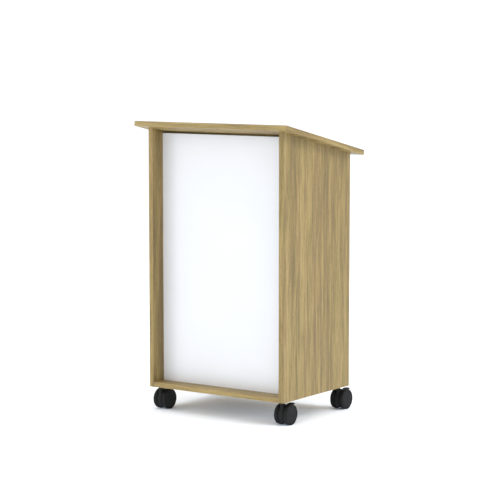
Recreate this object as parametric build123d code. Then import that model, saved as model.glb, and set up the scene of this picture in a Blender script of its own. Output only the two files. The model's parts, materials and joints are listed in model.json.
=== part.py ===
from build123d import *
import os
from math import cos, radians, sin, tan

# Mobile presentation lectern, in millimetres.
# +X is the audience's right, +Y runs from the audience's side to the presenter's open side, +Z is up.
# The origin is on the floor, under the middle of the object's outline.

# ---------------------------------------------------------------- cabinet sizes
body_width = 610.0            # across the outer faces of the side panels
body_depth = 450.0            # front edge to back edge of the side panels
desktop_front_height = 1098.0  # floor to the desktop's upper front edge
board = 19.0                  # laminated board
edge_band = 1.0               # banding glued on the cut edges
band_round = 0.8              # rounding of the banding's long edges

slope = 12.0                  # desktop, degrees down towards the presenter
side_overhang = 37.5          # desktop past each side panel's outer face
desktop_depth = 536.0         # measured along the slope
front_overhang = 34.5         # upper front edge ahead of the side panels

front_recess = 63.0           # white panel behind the side panels' front edges
front_panel_gap = 7.5         # white panel's top edge below the desktop

fixed_shelf_height = 700.0    # floor to the fixed shelf's upper face
adjustable_shelf_hole = 5     # which hole of each row carries the pins, counted from the lowest
shelf_setback = 4.0           # shelves behind the side panels' back edges
shelf_side_gap = 1.0          # adjustable shelf to each side panel
shelf_front_gap = 2.0         # adjustable shelf to the white panel

rail_height = 70.0            # at the rail's front face
rear_rail_setback = 30.0      # behind the side panels' back edges

pin_row_inset = 50.0          # rows of pin holes from the panel and from the back edge
pin_row_count = 9
pin_row_pitch = 32.0
pin_row_start = 210.0         # floor to the lowest hole

# ---------------------------------------------------------------- fittings
cam_radius = 7.5
cam_height = 12.5
cam_distance = 24.0           # board's end to the cam's centre
cam_clearance = 0.1
bolt_radius = 2.9
bolt_anchor = 11.0            # bolt's length inside the side panel
bolt_bore = 3.6               # radius of the bolt's way through the board and the cam
bolt_head_radius = 3.3
bolt_head_length = 3.0
dowel_radius = 4.0
dowel_length = 30.0
dowel_in_side = 12.0
fit_clearance = 0.02          # round a part that is glued, pressed or screwed in
hole_end_room = 0.5           # free space past the end of a blind hole's part
joint_inset = 80.0            # first fitting from a board's edge
dowel_offset = 32.0           # dowel from the cam beside it

pin_radius = 2.5
pin_depth = 8.0               # pin's length inside the side panel
pin_reach = 12.0              # pin's shelf plate into the cabinet
pin_plate_width = 10.0
pin_plate_thickness = 1.6

bracket_length = 60.0
bracket_flange = 18.0
bracket_thickness = 2.0
bracket_corner = 3.0
bracket_inset = 70.0          # bracket's middle from the desktop's clear span ends
bracket_hole_spacing = 36.0
bracket_hole_radius = 2.1

stop_length = 520.0           # paper stop on the desktop's lower edge
stop_thickness = 3.0
stop_lip = 10.0               # above the desktop's surface
stop_corner = 5.0
stop_round = 0.8
stop_screw_spacing = 200.0

screw_radius = 1.7
screw_length = 13.0
screw_head_radius = 3.3
screw_head_height = 1.9
screw_head_round = 0.8
screw_tip = 3.0
screw_point_radius = 0.3
recess_depth = 1.1            # cross recess in screw heads and cams
recess_length = 3.6
recess_slot = 0.9

# ---------------------------------------------------------------- casters
caster_headroom = 13.0        # wheels' top to the cabinet's underside
caster_side_inset = 8.0       # swivel axis from the side panel's inner face
caster_end_inset = 35.0       # swivel axis from the side panels' front and back edges
trail = 24.0                  # swivel axis to the axle, towards the presenter
wheel_radius = 38.0
wheel_width = 15.0
wheel_gap = 2.5               # between each wheel and the housing
tread_thickness = 3.5
tread_round = 2.0
hub_wall = 3.0
hub_rim = 3.0
hub_boss_radius = 7.0
hub_boss_gap = 0.5            # boss to the housing's core, in the housing's recess
hub_face_recess = 0.5         # hub's face behind the tread's side
hub_round = 1.0
hub_dish_margin = 5.0         # plain rim round the shallow dish in the hub's face
hub_dish_depth = 0.8
hub_rib = 1.6
hub_rib_count = 6

housing_width = 20.0          # hood, between the wheels
housing_core = 12.0
housing_inset = 1.5           # hood's edge inside the wheels' edge
housing_rim = 3.5
housing_floor_gap = 8.0
housing_round = 1.5
neck_radius = 7.5
neck_round = 1.2
neck_drop = 40.0              # how far the neck reaches down into the housing

axle_radius = 3.0
axle_end_gap = 0.5
running_clearance = 0.05
stem_radius = 4.0             # threaded end and kingpin alike
stem_in_insert = 14.0
stem_collar_flats = 13.0      # hexagon's width across its flats
stem_collar_height = 4.0
kingpin_length = 34.0         # below the collar
kingpin_end_room = 1.0
insert_radius = 6.0
insert_length = 15.0
washer_radius = 7.0
washer_thickness = 1.5
swivel_gap = 0.3              # between the washer and the turning neck
ring_radius = 5.6             # retaining ring near the kingpin's end
ring_thickness = 1.0
ring_groove_depth = 0.7
ring_above_end = 3.0
ring_room = 0.6               # free space round the ring
end_chamfer = 0.5             # ends of axles, pins and stems

pedal_pivot_inset = (24.0, 18.0)  # inwards from the wheels' back and top
pedal_knee_inset = (14.5, 4.5)
pedal_tip_inset = (-6.5, 5.0)
pedal_boss_radius = 4.5
pedal_arm_radius = 2.6
pedal_tip_radius = 3.0
pedal_arm_width = 6.0
pedal_foot_width = 16.0
pedal_side_clearance = 0.5
pedal_clearance = 0.8
pedal_travel = 12.0           # degrees, foot pushed down
pedal_round = 0.6
pedal_rib_count = 4
pedal_rib_pitch = 4.0
pedal_rib_width = 1.4
pedal_rib_height = 0.6
pedal_rib_root = 1.0          # how far the ribs reach down into the foot
pedal_rib_margin = 1.5        # foot's edge left plain beside and ahead of the ribs
brake_pin_radius = 2.0

# ---------------------------------------------------------------- worked out from the sizes
inner_x = body_width / 2 - board
desktop_width = body_width + 2 * side_overhang
caster_height = 2 * wheel_radius + caster_headroom
housing_radius = wheel_radius - housing_inset
slope_sin = sin(radians(slope))
slope_cos = cos(radians(slope))
lowest_y = -front_overhang - board * slope_sin
highest_y = -front_overhang + (desktop_depth + stop_thickness) * slope_cos + stop_lip * slope_sin
front_y = -(lowest_y + highest_y) / 2
back_y = front_y + body_depth
base_z = caster_height
base_top = base_z + board
desktop_front_y = front_y - front_overhang
panel_front_y = front_y + front_recess
panel_back_y = panel_front_y + board
shelf_back_y = back_y - shelf_setback
rear_rail_y = back_y - rear_rail_setback - board
adjustable_shelf_z = pin_row_start + adjustable_shelf_hole * pin_row_pitch + pin_radius
pin_row_ys = (panel_back_y + pin_row_inset, back_y - pin_row_inset)

# Places a shape drawn flat, with the desktop's upper front edge at the origin, on the slope.
on_slope = Pos(0, desktop_front_y, desktop_front_height) * Rot(-slope, 0, 0)


def underside_z(y):
    """Height of the desktop's underside."""
    return desktop_front_height - (y - desktop_front_y) * tan(radians(slope)) - board / slope_cos


front_panel_top = underside_z(panel_front_y) - front_panel_gap

# Holes that each board gets from the fittings, and the fittings themselves.
holes = {name: [] for name in ("side_-1", "side_1", "base", "front", "shelf", "front_rail", "rear_rail", "desktop")}
cams, bolts, dowels = [], [], []


def box(x0, x1, y0, y1, z0, z1):
    """A block between two corners."""
    middle = Pos((x0 + x1) / 2, (y0 + y1) / 2, (z0 + z1) / 2)
    return middle * Box(x1 - x0, y1 - y0, z1 - z0)


def rod(radius, start, direction, length):
    """A round bar from a start point along a direction."""
    seat = Plane(origin=start, z_dir=direction)
    return seat * Cylinder(radius, length, align=(Align.CENTER, Align.CENTER, Align.MIN))


def group(shapes):
    """Separate solids kept together as one node."""
    return Compound(children=[solid for shape in shapes for solid in shape.solids()])


def above_underside():
    """Everything over the plane of the desktop's underside."""
    room = 2 * desktop_depth
    return on_slope * Pos(0, desktop_depth / 2, room / 2 - board) * Box(2 * desktop_width, 3 * desktop_depth, room)


def split_bands(shape, planes):
    """Cuts the edge bands off a board. Gives the board and the list of its bands."""
    bands = []
    for plane in planes:
        bands.append(split(shape, plane, keep=Keep.TOP))
        shape = split(shape, plane, keep=Keep.BOTTOM)
    return shape, bands


# ---------------------------------------------------------------- fittings between the boards
def cam_joint(board_name, sign, y, z, face):
    """Cam lock and its bolt, from a side panel into a board's end. face points out of the board's cammed side."""
    face = Vector(*face)
    centre = Vector(sign * (inner_x - cam_distance), y, z)
    seat = centre + face * (board / 2)
    end = Vector(sign * inner_x, y, z)
    inwards = Vector(-sign, 0, 0)
    bolt_length = cam_distance - bolt_head_length / 2
    cam = rod(cam_radius, seat, face * -1, cam_height)
    cam -= rod(bolt_bore, end, inwards, cam_distance + bolt_head_length)
    cam -= cross_recess(Plane(origin=seat, z_dir=face))
    bolt = rod(bolt_radius, end - inwards * bolt_anchor, inwards, bolt_anchor + bolt_length)
    bolt += rod(bolt_head_radius, end + inwards * (bolt_length - bolt_head_length), inwards, bolt_head_length)
    cams.append(cam)
    bolts.append(bolt)
    holes[board_name].append(rod(cam_radius + cam_clearance, seat, face * -1, cam_height + hole_end_room))
    holes[board_name].append(rod(bolt_bore, end, inwards, cam_distance))
    holes[f"side_{sign}"].append(
        rod(bolt_radius + fit_clearance, end, inwards * -1, bolt_anchor + hole_end_room))


def dowel_joint(board_name, sign, y, z):
    """Wood dowel from a side panel into a board's end."""
    end = Vector(sign * inner_x, y, z)
    inwards = Vector(-sign, 0, 0)
    in_board = dowel_length - dowel_in_side
    hole = dowel_radius + fit_clearance
    dowels.append(rod(dowel_radius, end - inwards * dowel_in_side, inwards, dowel_length))
    holes[board_name].append(rod(hole, end, inwards, in_board + hole_end_room))
    holes[f"side_{sign}"].append(rod(hole, end, inwards * -1, dowel_in_side + hole_end_room))


def fit_flat_board(board_name, y0, y1, z_middle):
    """Two cams and two dowels at each end of a level board, entered from below."""
    for sign in (-1, 1):
        for edge, step in ((y0, 1), (y1, -1)):
            cam_joint(board_name, sign, edge + step * joint_inset, z_middle, (0, 0, -1))
            dowel_joint(board_name, sign, edge + step * (joint_inset + dowel_offset), z_middle)


def fit_rail(board_name, y_middle, z_cam):
    """One cam and one dowel at each end of an upright rail, entered from the back."""
    for sign in (-1, 1):
        cam_joint(board_name, sign, y_middle, z_cam, (0, 1, 0))
        dowel_joint(board_name, sign, y_middle, z_cam - dowel_offset)


def fit_front_panel():
    """Three cams and two dowels down each side of the white panel, and two dowels into the base."""
    y_middle = panel_front_y + board / 2
    low, high = base_top + joint_inset, front_panel_top - joint_inset
    for sign in (-1, 1):
        for z in (low, (low + high) / 2, high):
            cam_joint("front", sign, y_middle, z, (0, 1, 0))
        for z in (low + dowel_offset, high - dowel_offset):
            dowel_joint("front", sign, y_middle, z)
        start = Vector(sign * body_width / 5, y_middle, base_top - dowel_in_side)
        up = Vector(0, 0, 1)
        end_room = up * hole_end_room
        dowels.append(rod(dowel_radius, start, up, dowel_length))
        hole = rod(dowel_radius + fit_clearance, start - end_room, up, dowel_length + 2 * hole_end_room)
        holes["base"].append(hole)
        holes["front"].append(hole)


# ---------------------------------------------------------------- boards
def side_panel(sign):
    """Side panel with its front and back edge bands. Its top edge follows the slope."""
    outer_x = sign * body_width / 2
    x0, x1 = sorted((outer_x, sign * inner_x))
    panel = box(x0, x1, front_y, back_y, base_z, desktop_front_height)
    upright = panel.edges().filter_by(Axis.Z)
    panel = fillet(upright, band_round) - above_underside()
    row = [rod(pin_radius + fit_clearance, (sign * inner_x, y, pin_row_start + n * pin_row_pitch),
               (sign, 0, 0), pin_depth + hole_end_room) for y in pin_row_ys for n in range(pin_row_count)]
    planes = (Plane(origin=(0, front_y + edge_band, 0), z_dir=(0, -1, 0)),
              Plane(origin=(0, back_y - edge_band, 0), z_dir=(0, 1, 0)))
    core, bands = split_bands(panel, planes)
    return core - row - holes[f"side_{sign}"], bands


def level_board(name, half_width, y0, y1, top_z, banded):
    """Level board. banded says which of its front and back edges carry a band."""
    shape = box(-half_width, half_width, y0, y1, top_z - board, top_z)
    faces = {"front": (y0, -1), "back": (y1, 1)}
    planes = []
    for edge in banded:
        y, step = faces[edge]
        rim = shape.edges().filter_by(Axis.X).filter_by_position(Axis.Y, y - 0.01, y + 0.01)
        shape = fillet(rim, band_round)
        planes.append(Plane(origin=(0, y - step * edge_band, 0), z_dir=(0, step, 0)))
    core, bands = split_bands(shape, planes)
    return core - holes.get(name, []), bands


def front_panel():
    """White panel on the base panel, cut level below the desktop, with a band on its top edge."""
    shape = box(-inner_x, inner_x, panel_front_y, panel_back_y, base_top, front_panel_top)
    rim = shape.edges().filter_by(Axis.X).group_by(Axis.Z)[-1]
    shape = fillet(rim, band_round)
    plane = Plane(origin=(0, 0, front_panel_top - edge_band), z_dir=(0, 0, 1))
    core, bands = split_bands(shape, (plane,))
    return core - holes["front"], bands


def top_rail(name, y0):
    """Upright rail between the side panels, bevelled to lie against the desktop."""
    top = underside_z(y0)
    shape = box(-inner_x, inner_x, y0, y0 + board, top - rail_height, top + board)
    return shape - above_underside() - holes[name]


def desktop():
    """Sloping desktop with a band on all four edges."""
    shape = Pos(0, desktop_depth / 2, -board / 2) * Box(desktop_width, desktop_depth, board)
    shape = fillet(shape.faces().filter_by(Axis.Z).edges(), band_round)
    half = desktop_width / 2 - edge_band
    planes = (Plane(origin=(-half, 0, 0), z_dir=(-1, 0, 0)),
              Plane(origin=(half, 0, 0), z_dir=(1, 0, 0)),
              Plane(origin=(0, edge_band, 0), z_dir=(0, -1, 0)),
              Plane(origin=(0, desktop_depth - edge_band, 0), z_dir=(0, 1, 0)))
    core, bands = split_bands(shape, planes)
    pilots = [rod(screw_radius + fit_clearance, (x, y, -board), (0, 0, 1), screw_length + hole_end_room)
              for sign in (-1, 1) for x, y in bracket_desktop_holes(sign)]
    pilots += [rod(screw_radius + fit_clearance, (x, desktop_depth, -board / 2), (0, -1, 0),
                   screw_length + hole_end_room) for x in stop_screw_xs()]
    core -= pilots
    bands = [band - pilots for band in bands]
    return on_slope * core, [on_slope * band for band in bands]


# ---------------------------------------------------------------- small hardware
def cross_recess(face):
    """Cross-shaped recess, cut down from a plane on a fitting's face."""
    depth = 2 * recess_depth
    return face * (Box(recess_length, recess_slot, depth) + Box(recess_slot, recess_length, depth))


def pan_screw():
    """Pan-head screw along -Z, its head's seat at the origin, with a cross recess."""
    head = Pos(0, 0, screw_head_height / 2) * Cylinder(screw_head_radius, screw_head_height)
    head = fillet(head.edges().group_by(Axis.Z)[-1], screw_head_round)
    shank = rod(screw_radius, (0, 0, 0), (0, 0, -1), screw_length - screw_tip)
    tip = Pos(0, 0, screw_tip / 2 - screw_length) * Cone(screw_point_radius, screw_radius, screw_tip)
    return head + shank + tip - cross_recess(Plane(origin=(0, 0, screw_head_height)))


def shelf_pins():
    """Four pins, each with a flat plate under the adjustable shelf."""
    pins = []
    for sign in (-1, 1):
        for y in pin_row_ys:
            z = adjustable_shelf_z - pin_radius
            start = (sign * (inner_x + pin_depth), y, z)
            pin = rod(pin_radius, start, (-sign, 0, 0), pin_depth + 1)
            x0, x1 = sorted((sign * inner_x, sign * (inner_x - pin_reach)))
            half = pin_plate_width / 2
            pin += box(x0, x1, y - half, y + half, adjustable_shelf_z - pin_plate_thickness, adjustable_shelf_z)
            web_x0, web_x1 = sorted((sign * inner_x, sign * (inner_x - pin_plate_thickness)))
            pin += box(web_x0, web_x1, y - half, y + half, z - half, adjustable_shelf_z)
            pins.append(pin)
    return pins


def bracket_middles():
    """Places of a side's two brackets along the slope, inside the two rails."""
    front = (panel_back_y + board - desktop_front_y) / slope_cos
    back = (rear_rail_y - desktop_front_y) / slope_cos
    return front + bracket_inset, back - bracket_inset


def bracket_desktop_holes(sign):
    """Screw places on the desktop's underside, drawn flat."""
    x = sign * (inner_x - bracket_flange / 2)
    return [(x, y + step * bracket_hole_spacing / 2) for y in bracket_middles() for step in (-1, 1)]


def bracket_side_holes(sign):
    """Screw places on the side panel's inner face, drawn flat."""
    z = -board - bracket_flange / 2
    return [(sign * inner_x, y + step * bracket_hole_spacing / 2, z) for y in bracket_middles() for step in (-1, 1)]


def desktop_brackets():
    """Steel angles that hold the desktop to the side panels."""
    made = []
    half = bracket_length / 2
    for sign in (-1, 1):
        for y in bracket_middles():
            x0, x1 = sorted((sign * inner_x, sign * (inner_x - bracket_flange)))
            angle = box(x0, x1, y - half, y + half, -board - bracket_thickness, -board)
            x0, x1 = sorted((sign * inner_x, sign * (inner_x - bracket_thickness)))
            angle += box(x0, x1, y - half, y + half, -board - bracket_flange, -board)
            lower_ends = angle.edges().filter_by(Axis.X).group_by(Axis.Z)[0]
            angle = fillet(lower_ends, bracket_corner)
            for x, hole_y in bracket_desktop_holes(sign):
                angle -= rod(bracket_hole_radius, (x, hole_y, -board), (0, 0, -1), 2 * bracket_thickness)
            for place in bracket_side_holes(sign):
                angle -= rod(bracket_hole_radius, place, (-sign, 0, 0), 2 * bracket_thickness)
            made.append(on_slope * angle)
    return made


def bracket_screws():
    made = []
    for sign in (-1, 1):
        for x, y in bracket_desktop_holes(sign):
            made.append(on_slope * Pos(x, y, -board - bracket_thickness) * Rot(180, 0, 0) * pan_screw())
        for x, y, z in bracket_side_holes(sign):
            seat = Pos(x - sign * bracket_thickness, y, z)
            made.append(on_slope * seat * Rot(0, -90 * sign, 0) * pan_screw())
    return made


def bracket_pilots(sign):
    """Pilot holes for the bracket screws in a side panel."""
    length = screw_length - bracket_thickness + hole_end_room
    return [on_slope * rod(screw_radius + fit_clearance, place, (sign, 0, 0), length)
            for place in bracket_side_holes(sign)]


def stop_screw_xs():
    return [n * stop_screw_spacing for n in (-1, 0, 1)]


def paper_stop():
    """Flat metal bar on the desktop's lower edge, its lip above the surface."""
    bar = box(-stop_length / 2, stop_length / 2, desktop_depth, desktop_depth + stop_thickness, -board, stop_lip)
    corners = bar.edges().filter_by(Axis.Y)
    bar = fillet(corners, stop_corner)
    bar = fillet(bar.faces().filter_by(Axis.Y).edges(), stop_round)
    for x in stop_screw_xs():
        bar -= rod(bracket_hole_radius, (x, desktop_depth, -board / 2), (0, 1, 0), 2 * stop_thickness)
    return on_slope * bar


def paper_stop_screws():
    seat = Pos(0, desktop_depth + stop_thickness, -board / 2) * Rot(-90, 0, 0)
    return [on_slope * Pos(x, 0, 0) * seat * pan_screw() for x in stop_screw_xs()]


# ---------------------------------------------------------------- casters, drawn with the axle at the origin
floor_z = -wheel_radius
mount_z = caster_height - wheel_radius        # the cabinet's underside
collar_under_z = mount_z - stem_collar_height
neck_top_z = collar_under_z - washer_thickness - swivel_gap
kingpin_end_z = collar_under_z - kingpin_length
ring_z = kingpin_end_z + ring_above_end
wheel_inner_x = housing_width / 2 + wheel_gap
wheel_outer_x = wheel_inner_x + wheel_width
hub_inner_x = housing_core / 2 + hub_boss_gap
hub_face_x = wheel_outer_x - hub_face_recess
axle_end_x = hub_face_x - hub_wall - axle_end_gap
hub_radius = wheel_radius - tread_thickness
pedal_pivot, pedal_knee, pedal_tip = (
    (wheel_radius - inset_y, wheel_radius - inset_z)
    for inset_y, inset_z in (pedal_pivot_inset, pedal_knee_inset, pedal_tip_inset))


def disc(radius, x0, x1):
    """Round block along the axle."""
    return rod(radius, (x0, 0, 0), (1, 0, 0), x1 - x0)


def disc_at(centre_yz, radius, half_length):
    """Round bar along the axle's direction through a point of the wheel's plane."""
    return rod(radius, (-half_length, centre_yz[0], centre_yz[1]), (1, 0, 0), 2 * half_length)


def swivel_rod(radius, z0, z1):
    """Upright round bar on the swivel axis."""
    return rod(radius, (0, -trail, z0), (0, 0, 1), z1 - z0)


def flat_extrude(face_yz, width):
    """A profile in the wheel's plane, given its thickness along the axle."""
    return extrude(Plane.YZ * face_yz, width / 2, both=True)


def pedal_hull(circles):
    """Outline round several circles, each given by its centre and radius."""
    edges = [edge for centre, radius in circles for edge in (Pos(*centre) * Circle(radius)).edges()]
    return make_hull(edges)


def turned(point, degrees):
    """A point of the pedal, turned about its pivot with the foot going down."""
    a = radians(-degrees)
    y, z = point[0] - pedal_pivot[0], point[1] - pedal_pivot[1]
    return (pedal_pivot[0] + y * cos(a) - z * sin(a), pedal_pivot[1] + y * sin(a) + z * cos(a))


def caster_housing():
    """Moulded housing between the wheels: core, hood rim and swivel neck."""
    core = disc(housing_radius, -housing_core / 2, housing_core / 2)
    rim = disc(housing_radius, -housing_width / 2, housing_width / 2)
    rim = fillet(rim.edges(), housing_round)
    rim -= disc(housing_radius - housing_rim, -housing_width, housing_width)
    neck = rod(neck_radius, (0, -trail, neck_top_z - neck_drop), (0, 0, 1), neck_drop)
    neck = fillet(neck.edges().group_by(Axis.Z)[-1], neck_round)
    body = core + rim + neck
    cut_top = floor_z + housing_floor_gap
    body -= box(-housing_width, housing_width, -2 * wheel_radius, 2 * wheel_radius, 2 * floor_z, cut_top)
    body -= swivel_rod(stem_radius + running_clearance, kingpin_end_z - kingpin_end_room, neck_top_z + 1)
    body -= swivel_rod(ring_radius + ring_room, ring_z - ring_room, ring_z + ring_thickness + ring_room)
    body -= disc(axle_radius + fit_clearance, -housing_core, housing_core)
    body -= disc_at(pedal_pivot, brake_pin_radius + fit_clearance, housing_core)
    knee_room = pedal_arm_radius + pedal_clearance
    slot = pedal_hull([(pedal_pivot, pedal_boss_radius + pedal_clearance),
                       (pedal_knee, knee_room),
                       (turned(pedal_knee, pedal_travel), knee_room)])
    return body - flat_extrude(slot, pedal_arm_width + 2 * pedal_side_clearance)


def caster_axle():
    axle = disc(axle_radius, -axle_end_x, axle_end_x)
    return chamfer(axle.edges().filter_by(GeomType.CIRCLE), end_chamfer)


def brake_pin():
    pin = disc_at(pedal_pivot, brake_pin_radius, housing_core / 2)
    return chamfer(pin.edges().filter_by(GeomType.CIRCLE), end_chamfer)


def brake_pedal():
    """Foot lever: boss on the brake pin, arm through the hood's slot, ribbed foot."""
    arm = pedal_hull([(pedal_pivot, pedal_boss_radius), (pedal_knee, pedal_arm_radius)])
    foot = pedal_hull([(pedal_knee, pedal_arm_radius), (pedal_tip, pedal_tip_radius)])
    pad = flat_extrude(foot, pedal_foot_width)
    sides = pad.faces().filter_by(Axis.X)
    pad = fillet(sides.edges(), pedal_round)
    lever = flat_extrude(arm, pedal_arm_width) + pad
    half = pedal_foot_width / 2 - pedal_rib_margin
    top = pedal_tip[1] + pedal_tip_radius + pedal_rib_height
    for n in range(pedal_rib_count):
        y = pedal_tip[0] - pedal_rib_margin - n * pedal_rib_pitch
        lever += box(-half, half, y - pedal_rib_width, y, top - pedal_rib_height - pedal_rib_root, top)
    return lever - disc_at(pedal_pivot, brake_pin_radius + running_clearance, housing_width)


def wheel_hub(sign):
    """Moulded cup with a boss on the axle, ribs inside and a plain outer face."""
    hub = disc(hub_radius, wheel_inner_x, hub_face_x)
    hub = fillet(hub.edges().group_by(Axis.X)[-1], hub_round)
    hub -= disc(hub_radius - hub_rim, 0, hub_face_x - hub_wall)
    hub += disc(hub_boss_radius, hub_inner_x, hub_face_x - hub_wall / 2)
    for n in range(hub_rib_count):
        reach = box(wheel_inner_x + 1, hub_face_x - hub_wall / 2, hub_boss_radius - 1, hub_radius - hub_rim / 2,
                    -hub_rib / 2, hub_rib / 2)
        hub += Rot(n * 360 / hub_rib_count, 0, 0) * reach
    hub -= disc(hub_radius - hub_dish_margin, hub_face_x - hub_dish_depth, wheel_outer_x)
    hub -= disc(axle_radius + running_clearance, 0, hub_face_x - hub_wall)
    return hub if sign > 0 else mirror(hub, Plane.YZ)


def wheel_tread(sign):
    """Soft tyre ring on the hub."""
    ring = disc(wheel_radius, wheel_inner_x, wheel_outer_x)
    ring = fillet(ring.edges(), tread_round)
    ring -= disc(hub_radius, 0, 2 * wheel_outer_x)
    return ring if sign > 0 else mirror(ring, Plane.YZ)


def caster_stem():
    """Threaded end, hexagon collar against the cabinet, and kingpin with a ring groove."""
    hexagon = RegularPolygon(stem_collar_flats / 2, 6, major_radius=False)
    stem = Pos(0, -trail, collar_under_z) * extrude(hexagon, stem_collar_height)
    stem += swivel_rod(stem_radius, kingpin_end_z, mount_z + stem_in_insert)
    ends = stem.edges().filter_by(GeomType.CIRCLE).group_by(Axis.Z)
    stem = chamfer(ends[0] + ends[-1], end_chamfer)
    return stem - ring_round_kingpin(stem_radius + 1)


def ring_round_kingpin(radius):
    """Flat ring in the kingpin's groove, out to a radius."""
    ring = swivel_rod(radius, ring_z, ring_z + ring_thickness)
    return ring - swivel_rod(stem_radius - ring_groove_depth, ring_z, ring_z + ring_thickness)


def caster_insert():
    """Threaded sleeve sunk into the base panel."""
    sleeve = swivel_rod(insert_radius, mount_z, mount_z + insert_length)
    return sleeve - swivel_rod(stem_radius + fit_clearance, mount_z, mount_z + insert_length)


def caster_washer():
    low = collar_under_z - washer_thickness
    washer = swivel_rod(washer_radius, low, collar_under_z)
    return washer - swivel_rod(stem_radius + running_clearance, low, collar_under_z)


caster_places = {
    "front_left": (-1, front_y + caster_end_inset),
    "front_right": (1, front_y + caster_end_inset),
    "rear_left": (-1, back_y - caster_end_inset),
    "rear_right": (1, back_y - caster_end_inset),
}


def caster_position(name):
    """Moves a caster drawn at its axle under its corner of the cabinet."""
    sign, swivel_y = caster_places[name]
    return Pos(sign * (inner_x - caster_side_inset), swivel_y + trail, wheel_radius)


def insert_holes():
    """Blind holes for the four inserts, up into the base panel."""
    hole = swivel_rod(insert_radius + fit_clearance, mount_z, mount_z + insert_length + hole_end_room)
    return [caster_position(name) * hole for name in caster_places]


# ---------------------------------------------------------------- the whole lectern
def build():
    """Every node of the lectern, by name."""
    fit_flat_board("base", front_y, back_y, base_z + board / 2)
    fit_flat_board("shelf", panel_back_y, shelf_back_y, fixed_shelf_height - board / 2)
    fit_rail("front_rail", panel_back_y + board / 2, underside_z(panel_back_y) - rail_height / 3)
    fit_rail("rear_rail", rear_rail_y + board / 2, underside_z(rear_rail_y) - rail_height / 3)
    fit_front_panel()
    holes["base"] += insert_holes()
    for sign in (-1, 1):
        holes[f"side_{sign}"] += bracket_pilots(sign)

    nodes = {}
    for name, sign in (("left", -1), ("right", 1)):
        panel, bands = side_panel(sign)
        nodes[f"{name}_side_panel"] = panel
        nodes[f"{name}_side_edge_bands"] = group(bands)
    base, base_bands = level_board("base", inner_x, front_y, back_y, base_top, ("front", "back"))
    nodes["base_panel"] = base
    nodes["base_edge_bands"] = group(base_bands)
    shelf, shelf_bands = level_board("shelf", inner_x, panel_back_y, shelf_back_y, fixed_shelf_height, ("back",))
    nodes["fixed_shelf"] = shelf
    nodes["fixed_shelf_edge_band"] = group(shelf_bands)
    loose, loose_bands = level_board("loose", inner_x - shelf_side_gap, panel_back_y + shelf_front_gap,
                                     shelf_back_y, adjustable_shelf_z + board, ("back",))
    nodes["adjustable_shelf"] = loose
    nodes["adjustable_shelf_edge_band"] = group(loose_bands)
    white, white_bands = front_panel()
    nodes["front_panel"] = white
    nodes["front_panel_edge_band"] = group(white_bands)
    nodes["front_top_rail"] = top_rail("front_rail", panel_back_y)
    nodes["rear_top_rail"] = top_rail("rear_rail", rear_rail_y)
    top, top_bands = desktop()
    nodes["desktop"] = top
    nodes["desktop_edge_bands"] = group(top_bands)
    nodes["cam_locks"] = group(cams)
    nodes["cam_bolts"] = group(bolts)
    nodes["wood_dowels"] = group(dowels)
    nodes["shelf_pins"] = group(shelf_pins())
    nodes["desktop_brackets"] = group(desktop_brackets())
    nodes["bracket_screws"] = group(bracket_screws())
    nodes["paper_stop"] = paper_stop()
    nodes["paper_stop_screws"] = group(paper_stop_screws())

    places = {name: caster_position(name) for name in caster_places}
    nodes["caster_stems"] = group([place * caster_stem() for place in places.values()])
    nodes["caster_inserts"] = group([place * caster_insert() for place in places.values()])
    nodes["caster_washers"] = group([place * caster_washer() for place in places.values()])
    nodes["caster_retaining_rings"] = group([place * ring_round_kingpin(ring_radius) for place in places.values()])
    pieces = {
        "housing": caster_housing(),
        "axle": caster_axle(),
        "brake_pin": brake_pin(),
        "brake_pedal": brake_pedal(),
        "left_hub": wheel_hub(-1),
        "left_tread": wheel_tread(-1),
        "right_hub": wheel_hub(1),
        "right_tread": wheel_tread(1),
    }
    for name, place in places.items():
        for piece, shape in pieces.items():
            nodes[f"{name}_{piece}"] = place * shape
    return nodes


os.makedirs("parts", exist_ok=True)
for node_name, node_shape in build().items():
    export_step(node_shape, f"parts/{node_name}.step")
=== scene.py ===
import json
import math

import bpy
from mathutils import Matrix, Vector


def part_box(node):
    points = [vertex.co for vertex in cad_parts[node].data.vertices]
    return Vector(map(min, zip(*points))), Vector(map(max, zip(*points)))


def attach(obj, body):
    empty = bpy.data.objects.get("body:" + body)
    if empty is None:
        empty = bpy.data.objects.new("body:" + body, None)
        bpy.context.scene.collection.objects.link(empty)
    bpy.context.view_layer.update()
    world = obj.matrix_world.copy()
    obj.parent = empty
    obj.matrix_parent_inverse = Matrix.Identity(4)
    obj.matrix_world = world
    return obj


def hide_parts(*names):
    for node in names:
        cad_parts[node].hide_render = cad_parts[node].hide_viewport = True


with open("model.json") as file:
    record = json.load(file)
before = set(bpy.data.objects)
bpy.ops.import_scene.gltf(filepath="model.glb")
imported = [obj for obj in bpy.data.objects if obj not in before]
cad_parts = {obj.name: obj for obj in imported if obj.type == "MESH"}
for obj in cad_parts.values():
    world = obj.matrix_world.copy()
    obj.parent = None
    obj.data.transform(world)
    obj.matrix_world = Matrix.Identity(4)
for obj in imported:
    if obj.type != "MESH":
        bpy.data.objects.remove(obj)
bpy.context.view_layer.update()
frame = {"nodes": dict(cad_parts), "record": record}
nodes = frame["nodes"]
print("frame loaded:", len(nodes), "nodes")


camera = {
    "aim": (0.0, 0.0, 0.6094),   # on the lectern's upright centre line
    "distance": 7.287,
    "azimuth": 35.018,           # degrees from straight in front, towards +X
    "elevation": 6.212,
    "lens": 138.82,
    "sensor": 36.0,
    "clipEnd": 60.0,
}


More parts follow.
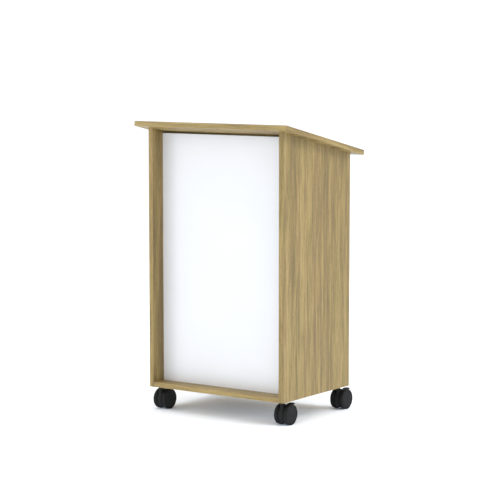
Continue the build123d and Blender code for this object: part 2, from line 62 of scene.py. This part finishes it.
def addCamera():
    azimuth = math.radians(camera["azimuth"])
    elevation = math.radians(camera["elevation"])
    back = Vector((math.sin(azimuth) * math.cos(elevation),
                   -math.cos(azimuth) * math.cos(elevation),
                   math.sin(elevation)))
    place = Vector(camera["aim"]) + back * camera["distance"]
    turn = (math.pi / 2 - elevation, 0.0, azimuth)
    bpy.ops.object.camera_add(location=place, rotation=turn)
    made = bpy.context.object
    made.name = "Camera"
    made.data.lens = camera["lens"]
    made.data.sensor_width = camera["sensor"]
    made.data.clip_end = camera["clipEnd"]
    bpy.context.scene.camera = made


addCamera()
print("camera placed")


studio = {
    "floorSize": 60.0,
    "floorColour": (0.98, 0.98, 0.98, 1.0),
    "floorRoughness": 0.9,
    "skyColour": (0.985, 0.992, 1.0, 1.0),
    "skyStrength": 1.03,
    "overhead": ((0.0, -0.01, 3.2), 5.0, 32.0),      # place, size, power; lights the floor only
    "left": ((-3.2, -3.6, 2.6), 1.6, 30.0),
    "ceiling": ((0.0, -0.2, 3.6), 2.4, 16.0),
    "right": ((3.3, 0.7, 3.7), 2.0, 52.0),
    "lookAt": (0.0, 0.0, 0.55),
    "lowStrength": 2.2,          # low lights that reach the floor under the base
    "lowSpread": 28.0,           # degrees
    "lowColour": (0.48, 0.68, 1.0),
    "lowPlaces": ((-1.2, -4.6, 0.75), (4.4, 1.6, 0.75)),
}


def addSoftbox(name):
    place, size, power = studio[name]
    bpy.ops.object.light_add(type="AREA", location=place)
    light = bpy.context.object
    light.name = name + "Softbox"
    light.data.shape = "DISK"
    light.data.size = size
    light.data.energy = power
    towards = Vector(studio["lookAt"]) - Vector(place)
    light.rotation_euler = towards.to_track_quat("-Z", "Y").to_euler()
    return light


def addLowLight(name, place):
    bpy.ops.object.light_add(type="SUN", location=place)
    light = bpy.context.object
    light.name = name
    light.data.energy = studio["lowStrength"]
    light.data.angle = math.radians(studio["lowSpread"])
    light.data.color = studio["lowColour"]
    light.rotation_euler = (-Vector(place)).to_track_quat("-Z", "Y").to_euler()
    return light


def addFloor():
    bpy.ops.mesh.primitive_plane_add(size=studio["floorSize"], location=(0, 0, 0))
    floor = bpy.context.object
    floor.name = "studioFloor"
    paint = bpy.data.materials.new("studioFloor")
    paint.use_nodes = True
    shader = paint.node_tree.nodes["Principled BSDF"]
    shader.inputs["Base Color"].default_value = studio["floorColour"]
    shader.inputs["Roughness"].default_value = studio["floorRoughness"]
    floor.data.materials.append(paint)
    return floor


def addStudio():
    world = bpy.data.worlds.new("studioWorld")
    world.use_nodes = True
    sky = world.node_tree.nodes["Background"]
    sky.inputs["Color"].default_value = studio["skyColour"]
    sky.inputs["Strength"].default_value = studio["skyStrength"]
    bpy.context.scene.world = world
    bpy.context.scene.view_settings.view_transform = "Standard"

    onlyFloor = bpy.data.collections.new("litFloor")
    onlyFloor.objects.link(addFloor())
    floorLights = [addSoftbox("overhead")]
    for number, place in enumerate(studio["lowPlaces"]):
        floorLights.append(addLowLight(f"lowLight{number + 1}", place))
    for light in floorLights:
        light.light_linking.receiver_collection = onlyFloor
    for name in ("left", "ceiling", "right"):
        addSoftbox(name)


addStudio()
print("studio lit")


wheel = {       # metres, from the middle of the caster outwards along the axle
    "tyreRound": 0.0026,
    "tyreRoundSegments": 5,
    "rimStep": 0.0011,           # hub's rounded edge
    "rimSegments": 3,
    "crownRings": ((0.0030, 0.0006), (0.0050, 0.00045), (0.0060, 0.0003)),   # ring's width, then its rise
    "crownSink": 0.0014,         # hub's flat rim behind the tyre's side
    "capWidth": 0.0085,          # round cap over the axle's end
    "capGroove": 0.0004,         # width of each side of the groove round the cap
    "capRise": 0.0005,
    "cupRim": 0.0030,
    "cupDepth": 0.0105,
    "bossRadius": 0.0070,
    "turns": 72,
    "weld": 0.00002,
    "flat": 0.99,                # how squarely an end face looks along the axle
    "smoothAngle": 32.0,         # degrees
}


def clearSelection():
    if bpy.context.object and bpy.context.object.mode == "EDIT":
        bpy.ops.object.mode_set(mode="OBJECT")
    bpy.ops.object.select_all(action="DESELECT")


def deselectMesh(mesh):
    for item in (*mesh.vertices, *mesh.edges, *mesh.polygons):
        item.select = False


def selectEnd(piece, direction):        # in edit mode; the flat end that looks outwards (1) or inwards (-1)
    bpy.ops.object.mode_set(mode="OBJECT")
    deselectMesh(piece.data)
    for face in piece.data.polygons:
        face.select = direction * face.normal.x > wheel["flat"]
    bpy.ops.object.mode_set(mode="EDIT")
    bpy.ops.mesh.select_mode(type="FACE")


def startPiece(name):
    piece = bpy.context.object
    piece.name = name
    piece.data.name = name
    bpy.ops.object.transform_apply(location=True, rotation=True, scale=True)
    bpy.ops.object.mode_set(mode="EDIT")
    return piece


def faceOutwards():     # in edit mode
    bpy.ops.mesh.select_all(action="SELECT")
    bpy.ops.mesh.normals_make_consistent(inside=False)
    bpy.ops.object.mode_set(mode="OBJECT")


def finishPiece(piece):
    bpy.ops.mesh.select_all(action="SELECT")
    bpy.ops.mesh.remove_doubles(threshold=wheel["weld"])
    faceOutwards()
    bpy.ops.object.shade_smooth_by_angle(angle=math.radians(wheel["smoothAngle"]))
    return piece


def makeTyre(inner, outer, hubRadius, tyreRadius):      # a flat section with rounded outer corners, spun
    clearSelection()
    middle = (hubRadius + tyreRadius) / 2
    bpy.ops.mesh.primitive_plane_add(size=1, location=((inner + outer) / 2, 0, middle),
                                     rotation=(math.pi / 2, 0, 0))
    bpy.context.object.scale = (outer - inner, tyreRadius - hubRadius, 1)
    tyre = startPiece("tyre")
    bpy.ops.object.mode_set(mode="OBJECT")
    deselectMesh(tyre.data)
    for corner in tyre.data.vertices:
        corner.select = corner.co.z > middle
    bpy.ops.object.mode_set(mode="EDIT")
    bpy.ops.mesh.select_mode(type="VERT")
    bpy.ops.mesh.bevel(offset=wheel["tyreRound"], segments=wheel["tyreRoundSegments"], affect="VERTICES")
    bpy.ops.mesh.select_all(action="SELECT")
    bpy.ops.mesh.delete(type="ONLY_FACE")
    bpy.ops.mesh.select_all(action="SELECT")
    bpy.ops.mesh.spin(steps=wheel["turns"], angle=math.tau, center=(0, 0, 0), axis=(1, 0, 0))
    return finishPiece(tyre)


def makeHub(inner, outer, hubRadius, bossInner):        # a cup with a crowned face, open towards the hood
    clearSelection()
    faceX = outer - wheel["crownSink"]
    bpy.ops.mesh.primitive_cylinder_add(vertices=wheel["turns"], radius=hubRadius, depth=faceX - inner,
                                        location=((inner + faceX) / 2, 0, 0), rotation=(0, math.pi / 2, 0))
    hub = startPiece("hub")
    selectEnd(hub, 1)
    bpy.ops.mesh.bevel(offset=wheel["rimStep"], segments=wheel["rimSegments"], affect="EDGES")
    selectEnd(hub, 1)
    for width, rise in wheel["crownRings"]:
        bpy.ops.mesh.inset(thickness=width)
        bpy.ops.transform.translate(value=(rise, 0, 0))
    crownWidth = sum(width for width, rise in wheel["crownRings"])
    bpy.ops.mesh.inset(thickness=hubRadius - wheel["rimStep"] - wheel["capWidth"] - crownWidth)
    for rise in (-wheel["capRise"], wheel["capRise"]):
        bpy.ops.mesh.inset(thickness=wheel["capGroove"])
        bpy.ops.transform.translate(value=(rise, 0, 0))
    selectEnd(hub, -1)
    bpy.ops.mesh.inset(thickness=wheel["cupRim"])
    bpy.ops.mesh.extrude_region_move(TRANSFORM_OT_translate={"value": (wheel["cupDepth"], 0, 0)})
    bpy.ops.mesh.inset(thickness=hubRadius - wheel["cupRim"] - wheel["bossRadius"])
    bossReach = bossInner - inner - wheel["cupDepth"]
    bpy.ops.mesh.extrude_region_move(TRANSFORM_OT_translate={"value": (bossReach, 0, 0)})
    return finishPiece(hub)


def copyPiece(model, name, mirrored, place):
    clearSelection()
    model.select_set(True)
    bpy.context.view_layer.objects.active = model
    bpy.ops.object.duplicate()
    piece = bpy.context.object
    piece.name = name
    piece.data.name = name
    if mirrored:
        piece.scale = (-1, 1, 1)
    piece.location = place
    bpy.ops.object.transform_apply(location=True, rotation=True, scale=True)
    if mirrored:
        bpy.ops.object.mode_set(mode="EDIT")
        faceOutwards()
    return piece


corners = ("front_left", "front_right", "rear_left", "rear_right")


def middleOf(node):
    low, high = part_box(node)
    return Vector((low[n] + high[n]) / 2 for n in range(3))


def addWheels(tyrePaint, hubPaint):     # one wheel is modelled round the axle's middle and copied
    axle = middleOf("front_right_axle")
    tyreLow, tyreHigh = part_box("front_right_right_tread")
    hubLow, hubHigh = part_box("front_right_right_hub")
    tyreRadius = (tyreHigh[2] - tyreLow[2]) / 2
    hubRadius = (hubHigh[2] - hubLow[2]) / 2
    inner, outer = tyreLow[0] - axle.x, tyreHigh[0] - axle.x
    tyre = makeTyre(inner, outer, hubRadius, tyreRadius)
    tyre.data.materials.append(tyrePaint)
    hub = makeHub(inner, outer, hubRadius, hubLow[0] - axle.x)
    hub.data.materials.append(hubPaint)
    for corner in corners:
        place = middleOf(corner + "_axle")
        for side in ("left", "right"):
            for model, kind, slot in ((tyre, "tread", "black_tread"), (hub, "hub", "black_nylon")):
                piece = copyPiece(model, f"{corner}_{side}_{model.name}", side == "left", place)
                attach(piece, f"{corner}_{side}_wheel")
                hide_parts(f"{corner}_{side}_{kind}")
    for model in (tyre, hub):
        bpy.data.objects.remove(model, do_unlink=True)


def addNode(tree, kind, **settings):
    node = tree.nodes.new(kind)
    for name, value in settings.items():
        setattr(node, name, value)
    return node


def fill(tree, socket, value):      # a value, or a link from another node's output
    if isinstance(value, bpy.types.NodeSocket):
        tree.links.new(value, socket)
    else:
        socket.default_value = value


def feed(tree, node, **inputs):
    for name, value in inputs.items():
        fill(tree, node.inputs[name.replace("_", " ")], value)


def mathNode(tree, operation, first, second=0.0):
    node = addNode(tree, "ShaderNodeMath", operation=operation)
    for socket, value in zip(node.inputs, (first, second)):
        fill(tree, socket, value)
    return node.outputs[0]


def scaleAndAdd(tree, value, scale, base):
    return mathNode(tree, "ADD", mathNode(tree, "MULTIPLY", value, scale), base)


def mixColour(tree, factor, first, second, blend="MIX"):
    node = addNode(tree, "ShaderNodeMix", data_type="RGBA", blend_type=blend)
    for socket, value in zip((node.inputs[0], node.inputs[6], node.inputs[7]), (factor, first, second)):
        fill(tree, socket, value)
    return node.outputs[2]


def splitAxes(tree, vector):
    split = addNode(tree, "ShaderNodeSeparateXYZ")
    feed(tree, split, Vector=vector)
    return [split.outputs[n] for n in "XYZ"]


def noise(tree, vector, scale, detail=2.0, roughness=0.5):
    node = addNode(tree, "ShaderNodeTexNoise")
    feed(tree, node, Vector=vector, Scale=scale, Detail=detail, Roughness=roughness)
    return node.outputs["Fac"]


def ramp(tree, factor, stops):      # a stop's colour may be one grey value
    node = addNode(tree, "ShaderNodeValToRGB")
    elements = node.color_ramp.elements
    while len(elements) < len(stops):
        elements.new(0.5)           # moved to its place below
    for element, (place, colour) in zip(elements, stops):
        element.position = place
        element.color = colour if isinstance(colour, tuple) else (colour, colour, colour, 1.0)
    feed(tree, node, Fac=factor)
    return node.outputs["Color"]


def times(colour, factor):
    return tuple(factor * c for c in colour[:3]) + (1.0,)


def startMaterial(name, roughness, metallic=0.0):
    made = bpy.data.materials.new(name)
    made.use_nodes = True
    tree = made.node_tree
    shader = tree.nodes["Principled BSDF"]
    feed(tree, shader, Roughness=roughness, Metallic=metallic)
    where = addNode(tree, "ShaderNodeTexCoord").outputs["Object"]
    return made, tree, shader, where


def bump(tree, shader, height, strength, distance):
    node = addNode(tree, "ShaderNodeBump")
    feed(tree, node, Height=height, Strength=strength, Distance=distance)
    feed(tree, shader, Normal=node.outputs["Normal"])


oak = {
    # tones and tints: a place on the noise, then a colour
    "tones": ((0.37, (0.119, 0.080, 0.023, 1.0)), (0.455, (0.214, 0.148, 0.046, 1.0)),
              (0.505, (0.303, 0.215, 0.070, 1.0)), (0.60, (0.457, 0.337, 0.128, 1.0))),
    "tints": ((0.40, (0.332, 0.215, 0.084, 1.0)), (0.60, (0.299, 0.224, 0.065, 1.0))),     # pinkish, olive
    "tintShare": 0.34,
    "sway": (3.2, 1.0),          # how the grain wanders: scale, detail
    "swayWidth": 0.012,
    "grain": {                   # scale across the grain, scale along it, detail, roughness
        "broad": (24.0, 1.0, 2.0, 0.5),
        "streaks": (66.0, 3.3, 3.0, 0.6),
        "lines": (190.0, 11.0, 3.0, 0.7),
        "veins": (330.0, 5.0, 2.0, 0.55),
        "fibres": (1500.0, 55.0, 2.0, 0.6),
        "hue": (48.0, 1.4, 2.0, 0.5),
    },
    "toneShares": {"broad": 0.30, "streaks": 0.40, "lines": 0.30},
    "darkening": {               # share, then the places and brightnesses that it runs between
        "veins": (0.5, ((0.30, 0.55), (0.44, 1.0))),
        "fibres": (0.6, ((0.36, 0.50), (0.50, 1.0))),
    },
    # a dark line painted where an edge band starts: partly its glue line, partly painted shade of the
    # band's rounded edge
    "glueAndShade": (0.085, 0.062, 0.034, 1.0),
    "glueAndShadeWidth": 0.00035,
    "glueAndShadeShare": 0.75,
    "roughness": (0.42, 0.58),
    "relief": (0.25, 0.0004),    # bump's strength and depth
}


def turnBeyond(tree, axes, along, limit):       # swaps the first two axes past the limit on either side
    far = mathNode(tree, "GREATER_THAN", mathNode(tree, "ABSOLUTE", along), limit)
    turned = []
    for first, second in ((axes[0], axes[1]), (axes[1], axes[0])):
        step = mathNode(tree, "MULTIPLY", mathNode(tree, "SUBTRACT", second, first), far)
        turned.append(mathNode(tree, "ADD", first, step))
    return [*turned, axes[2]]


def oakGrain(tree, sides, length, sway, look):      # noise drawn out along the grain
    across, run, detail, roughness = look
    joined = addNode(tree, "ShaderNodeCombineXYZ")
    moving = [mathNode(tree, "ADD", side, sway) for side in sides]
    for socket, axis, scale in zip(joined.inputs, (*moving, length), (across, across, run)):
        fill(tree, socket, mathNode(tree, "MULTIPLY", axis, scale))
    return noise(tree, joined.outputs["Vector"], 1.0, detail, roughness)


# tilt leans the grain with a sloping board; where X is past endsFrom, the grain runs along Y
def oakLaminate(name, along, shade=1.0, glueAndShadeLines=(), offset=(0.0, 0.0, 0.0), endsFrom=None, tilt=0.0):
    low, high = oak["roughness"]
    made, tree, shader, where = startMaterial(name, low)
    moved = addNode(tree, "ShaderNodeMapping")
    feed(tree, moved, Vector=where, Location=offset, Rotation=(tilt, 0.0, 0.0))
    axes = splitAxes(tree, moved.outputs["Vector"])
    if endsFrom:
        axes = turnBeyond(tree, axes, splitAxes(tree, where)[0], endsFrom)
    length = axes.pop("XYZ".index(along))
    sway = mathNode(tree, "MULTIPLY", noise(tree, moved.outputs["Vector"], *oak["sway"]), oak["swayWidth"])
    grain = {kind: oakGrain(tree, axes, length, sway, look) for kind, look in oak["grain"].items()}

    tone = 0.0
    for kind, share in oak["toneShares"].items():
        tone = scaleAndAdd(tree, grain[kind], share, tone)
    colour = mixColour(tree, oak["tintShare"], ramp(tree, tone, oak["tones"]),
                       ramp(tree, grain["hue"], oak["tints"]))
    for kind, (share, shades) in oak["darkening"].items():
        colour = mixColour(tree, share, colour, ramp(tree, grain[kind], shades), "MULTIPLY")
    if shade != 1.0:
        colour = mixColour(tree, 1.0, colour, (shade, shade, shade, 1.0), "MULTIPLY")
    # dark lines at the band joints: partly the glue line, partly painted shade of the band's rounded edge
    if glueAndShadeLines:
        plain = splitAxes(tree, where)
    for axis, place in glueAndShadeLines:
        gap = mathNode(tree, "ABSOLUTE", mathNode(tree, "SUBTRACT", plain["XYZ".index(axis)], place))
        line = mathNode(tree, "LESS_THAN", gap, oak["glueAndShadeWidth"])
        colour = mixColour(tree, mathNode(tree, "MULTIPLY", line, oak["glueAndShadeShare"]), colour, oak["glueAndShade"])
    sheen = scaleAndAdd(tree, grain["streaks"], high - low, low)
    feed(tree, shader, Base_Color=colour, Roughness=sheen)
    bump(tree, shader, grain["fibres"], *oak["relief"])
    return made


white = {
    "clouds": ((0.3, (0.758, 0.765, 0.782, 1.0)), (0.7, (0.772, 0.779, 0.796, 1.0))),
    "cloudScale": 5.0,
    "peelScale": 900.0,
    "roughness": 0.42,
    "relief": (0.12, 0.0002),
}


def whiteLaminate():
    made, tree, shader, where = startMaterial("whiteLaminate", white["roughness"])
    feed(tree, shader, Base_Color=ramp(tree, noise(tree, where, white["cloudScale"]), white["clouds"]))
    bump(tree, shader, noise(tree, where, white["peelScale"]), *white["relief"])
    return made


black = {
    "looks": {                   # name, colour, roughness, scale of the grit
        "black_nylon": ("blackNylon", (0.0120, 0.0130, 0.0130, 1.0), 0.55, 2600.0),
        "black_tread": ("blackTread", (0.0120, 0.0122, 0.0126, 1.0), 0.6, 3800.0),
    },
    "specular": 0.12,
    "dust": (60.0, 4.0, 0.65),   # scale, detail, roughness
    "dustFrom": 0.35,
    "dustTo": 0.75,
    "dustLift": 1.45,
    "scuffs": (240.0, 3.0, 0.7),
    "scuffSpread": 0.18,
    "relief": (0.3, 0.0003),
}


def mouldedBlack(name, colour, roughness, grit):
    made, tree, shader, where = startMaterial(name, roughness)
    dusty = ((black["dustFrom"], colour), (black["dustTo"], times(colour, black["dustLift"])))
    scuffs = scaleAndAdd(tree, noise(tree, where, *black["scuffs"]), black["scuffSpread"],
                         roughness - black["scuffSpread"] / 2)
    feed(tree, shader, Specular_IOR_Level=black["specular"], Roughness=scuffs,
         Base_Color=ramp(tree, noise(tree, where, *black["dust"]), dusty))
    bump(tree, shader, noise(tree, where, grit), *black["relief"])
    return made


metal = {
    "looks": {                   # name, colour, roughness, scale of the marks along each axis
        "zinc_plated_steel": ("zincPlate", (0.62, 0.63, 0.64, 1.0), 0.38, (300.0, 300.0, 300.0)),
        "zinc_alloy": ("castZinc", (0.52, 0.52, 0.53, 1.0), 0.5, (300.0, 300.0, 300.0)),
        "brass_insert": ("brass", (0.60, 0.44, 0.17, 1.0), 0.35, (300.0, 300.0, 300.0)),
        "anodised_aluminium": ("brushedAluminium", (0.46, 0.47, 0.48, 1.0), 0.42, (4.0, 900.0, 900.0)),
    },
    "marks": (1.0, 3.0, 0.6),    # scale, detail, roughness
    "markFrom": 0.3,
    "markTo": 0.7,
    "markDim": 0.82,
    "markSpread": 0.2,
    "relief": (0.1, 0.0002),
}


def plainMetal(name, colour, roughness, brush):
    made, tree, shader, where = startMaterial(name, roughness, 1.0)
    stretched = addNode(tree, "ShaderNodeMapping")
    feed(tree, stretched, Vector=where, Scale=brush)
    marks = noise(tree, stretched.outputs["Vector"], *metal["marks"])
    dim = ((metal["markFrom"], times(colour, metal["markDim"])), (metal["markTo"], colour))
    feed(tree, shader, Base_Color=ramp(tree, marks, dim),
         Roughness=scaleAndAdd(tree, marks, metal["markSpread"], roughness - metal["markSpread"] / 2))
    bump(tree, shader, marks, *metal["relief"])
    return made


def glueAndShadeFaces(node, axes):      # planes where a board's edge bands start; a dark line is painted along them, partly the glue line and partly painted shade of the band's rounded edge
    low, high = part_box(node)
    return [(axis, side["XYZ".index(axis)]) for axis in axes for side in (low, high)]


boards = {      # grain direction, banded directions
    "left_side_panel": ("Z", "Y"),
    "right_side_panel": ("Z", "Y"),
    "base_panel": ("X", "Y"),
    "fixed_shelf": ("X", ""),
    "adjustable_shelf": ("X", ""),
    "front_top_rail": ("X", ""),
    "rear_top_rail": ("X", ""),
    "desktop": ("X", "X"),
}
boardStep = (0.37, 0.61, 0.83)      # moves the pattern on from one board to the next
bands = {       # grain direction, brightness against the boards
    "left_side_edge_bands": ("Z", 1.06),
    "right_side_edge_bands": ("Z", 0.94),
    "base_edge_bands": ("X", 1.04),
    "fixed_shelf_edge_band": ("X", 1.04),
    "adjustable_shelf_edge_band": ("X", 1.04),
    "desktop_edge_bands": ("X", 1.04),
}
bandStart = 1.9                     # moves the bands' pattern on from the boards'
bandStep = (0.53, 0.29, 0.71)


def paint(node, material):
    mesh = nodes[node].data
    mesh.materials.clear()
    mesh.materials.append(material)


def desktopSlope():         # the reading surface's own tilt
    for mount in frame["record"]["mounts"]:
        if mount["name"] == "reading_surface":
            return math.atan2(mount["axis"][1], mount["axis"][2])


def paintCabinet():
    slope = desktopSlope()
    for number, (node, (along, banded)) in enumerate(boards.items()):
        offset = [step * number for step in boardStep]
        paint(node, oakLaminate(node + "Oak", along, glueAndShadeLines=glueAndShadeFaces(node, banded), offset=offset,
                                tilt=slope if node == "desktop" else 0.0))
    for number, (node, (along, shade)) in enumerate(bands.items()):
        offset = [step * number for step in bandStep]
        offset[0] += bandStart
        onDesktop = node == "desktop_edge_bands"
        paint(node, oakLaminate(node + "Oak", along, shade=shade, offset=offset,
                                tilt=slope if onDesktop else 0.0,
                                endsFrom=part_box("desktop")[1][0] if onDesktop else None))
    laminate = whiteLaminate()
    paint("front_panel", laminate)
    paint("front_panel_edge_band", laminate)


beechShade = 1.25


def paintHardware():        # each fitting is painted by its material slot
    finish = {slot: plainMetal(*look) for slot, look in metal["looks"].items()}
    finish["beech_dowel"] = oakLaminate("beechDowel", "X", shade=beechShade)
    finish.update({slot: mouldedBlack(*look) for slot, look in black["looks"].items()})
    for part in frame["record"]["subparts"]:
        if part["material_slot"] in finish:
            paint(part["node"], finish[part["material_slot"]])
    return finish["black_tread"], finish["black_nylon"]


paintCabinet()
tyrePaint, nylonPaint = paintHardware()
print("materials on")
addWheels(tyrePaint, nylonPaint)
print("wheels made")
